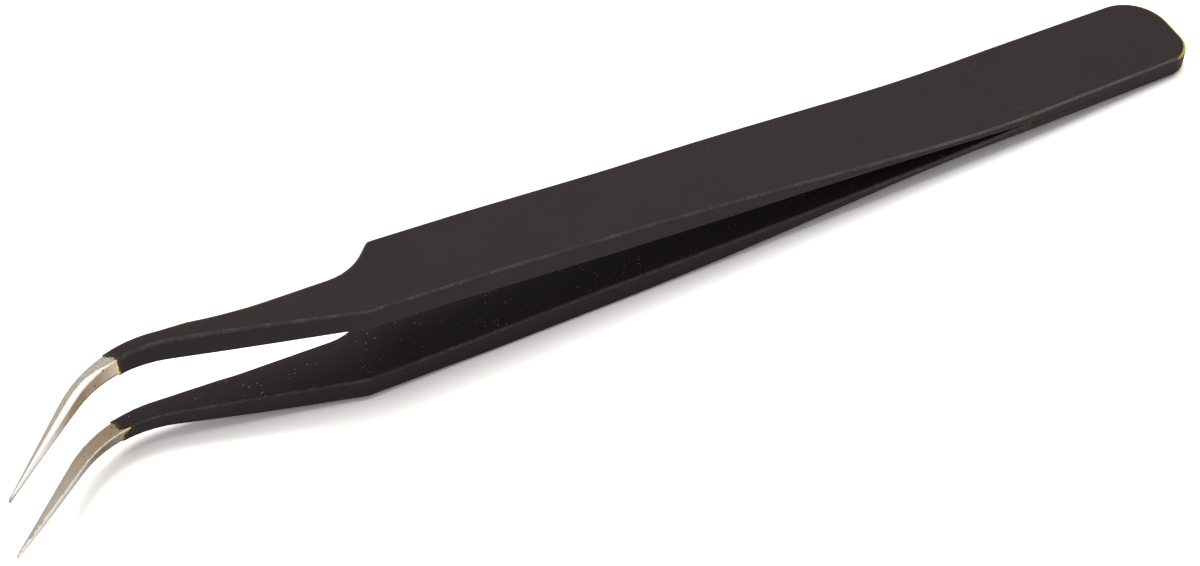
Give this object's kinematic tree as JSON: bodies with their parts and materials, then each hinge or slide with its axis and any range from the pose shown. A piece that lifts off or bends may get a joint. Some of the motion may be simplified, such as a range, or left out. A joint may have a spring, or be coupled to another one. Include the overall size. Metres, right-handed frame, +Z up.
{
  "type": "tweezers",
  "caption": "Anti-magnetic precision tweezers with curved needle points, black matte coating over steel blades, bare metal points, lying on their side",
  "frame": {"origin": "centre of the bounding box in X and Y, on the plane the tweezers rest on", "axes": "X along the tweezers with the tail at +X and the points at -X, -Y the side the points curve to, Z up"},
  "size_m": [0.117, 0.012, 0.013],
  "materials": {
    "bare_steel": "ground bare steel of the points, grey with a warm stain, bright along the ground edge",
    "black_coating": "baked matte near-black coating, worn to a fine grey line along its edges"
  },
  "bodies": {
    "root": {"upper_blade": "bare_steel", "lower_blade": "bare_steel", "coating": "black_coating"}
  },
  "joints": []
}
